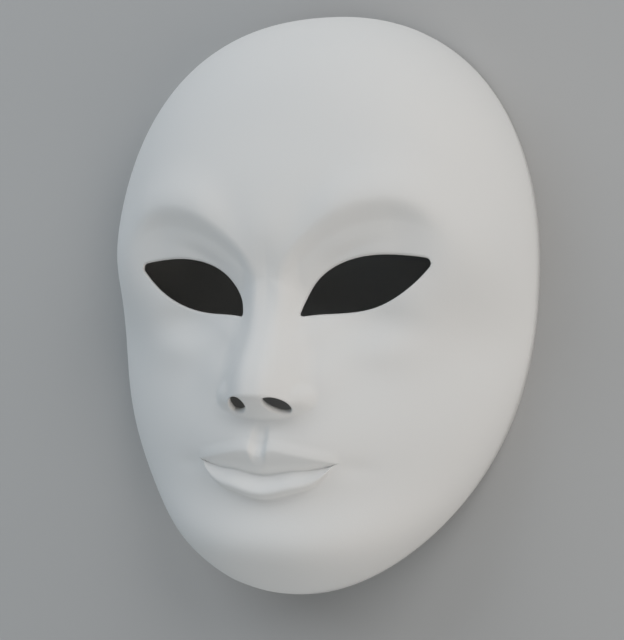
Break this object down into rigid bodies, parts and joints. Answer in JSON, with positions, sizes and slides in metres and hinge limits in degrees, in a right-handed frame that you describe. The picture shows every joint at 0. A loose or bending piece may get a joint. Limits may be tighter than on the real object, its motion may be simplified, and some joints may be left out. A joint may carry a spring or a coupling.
{
  "type": "volto mask",
  "caption": "Full-face carnival mask: one thin domed papier-mache shell with open eyes and nostrils, closed lips, and a flat rim it lies on face up.",
  "frame": {"origin": "middle of the resting plane under the mask, in the centre of its box", "axes": "+Z out of the face, up as the mask lies; +Y towards the forehead; +X to the viewer's right of the face"},
  "size_m": [0.1886, 0.2448, 0.0775],
  "materials": {
    "gesso": "matte white gesso over papier-mache"
  },
  "bodies": {
    "root": {"volto_mask": "gesso"}
  },
  "joints": []
}
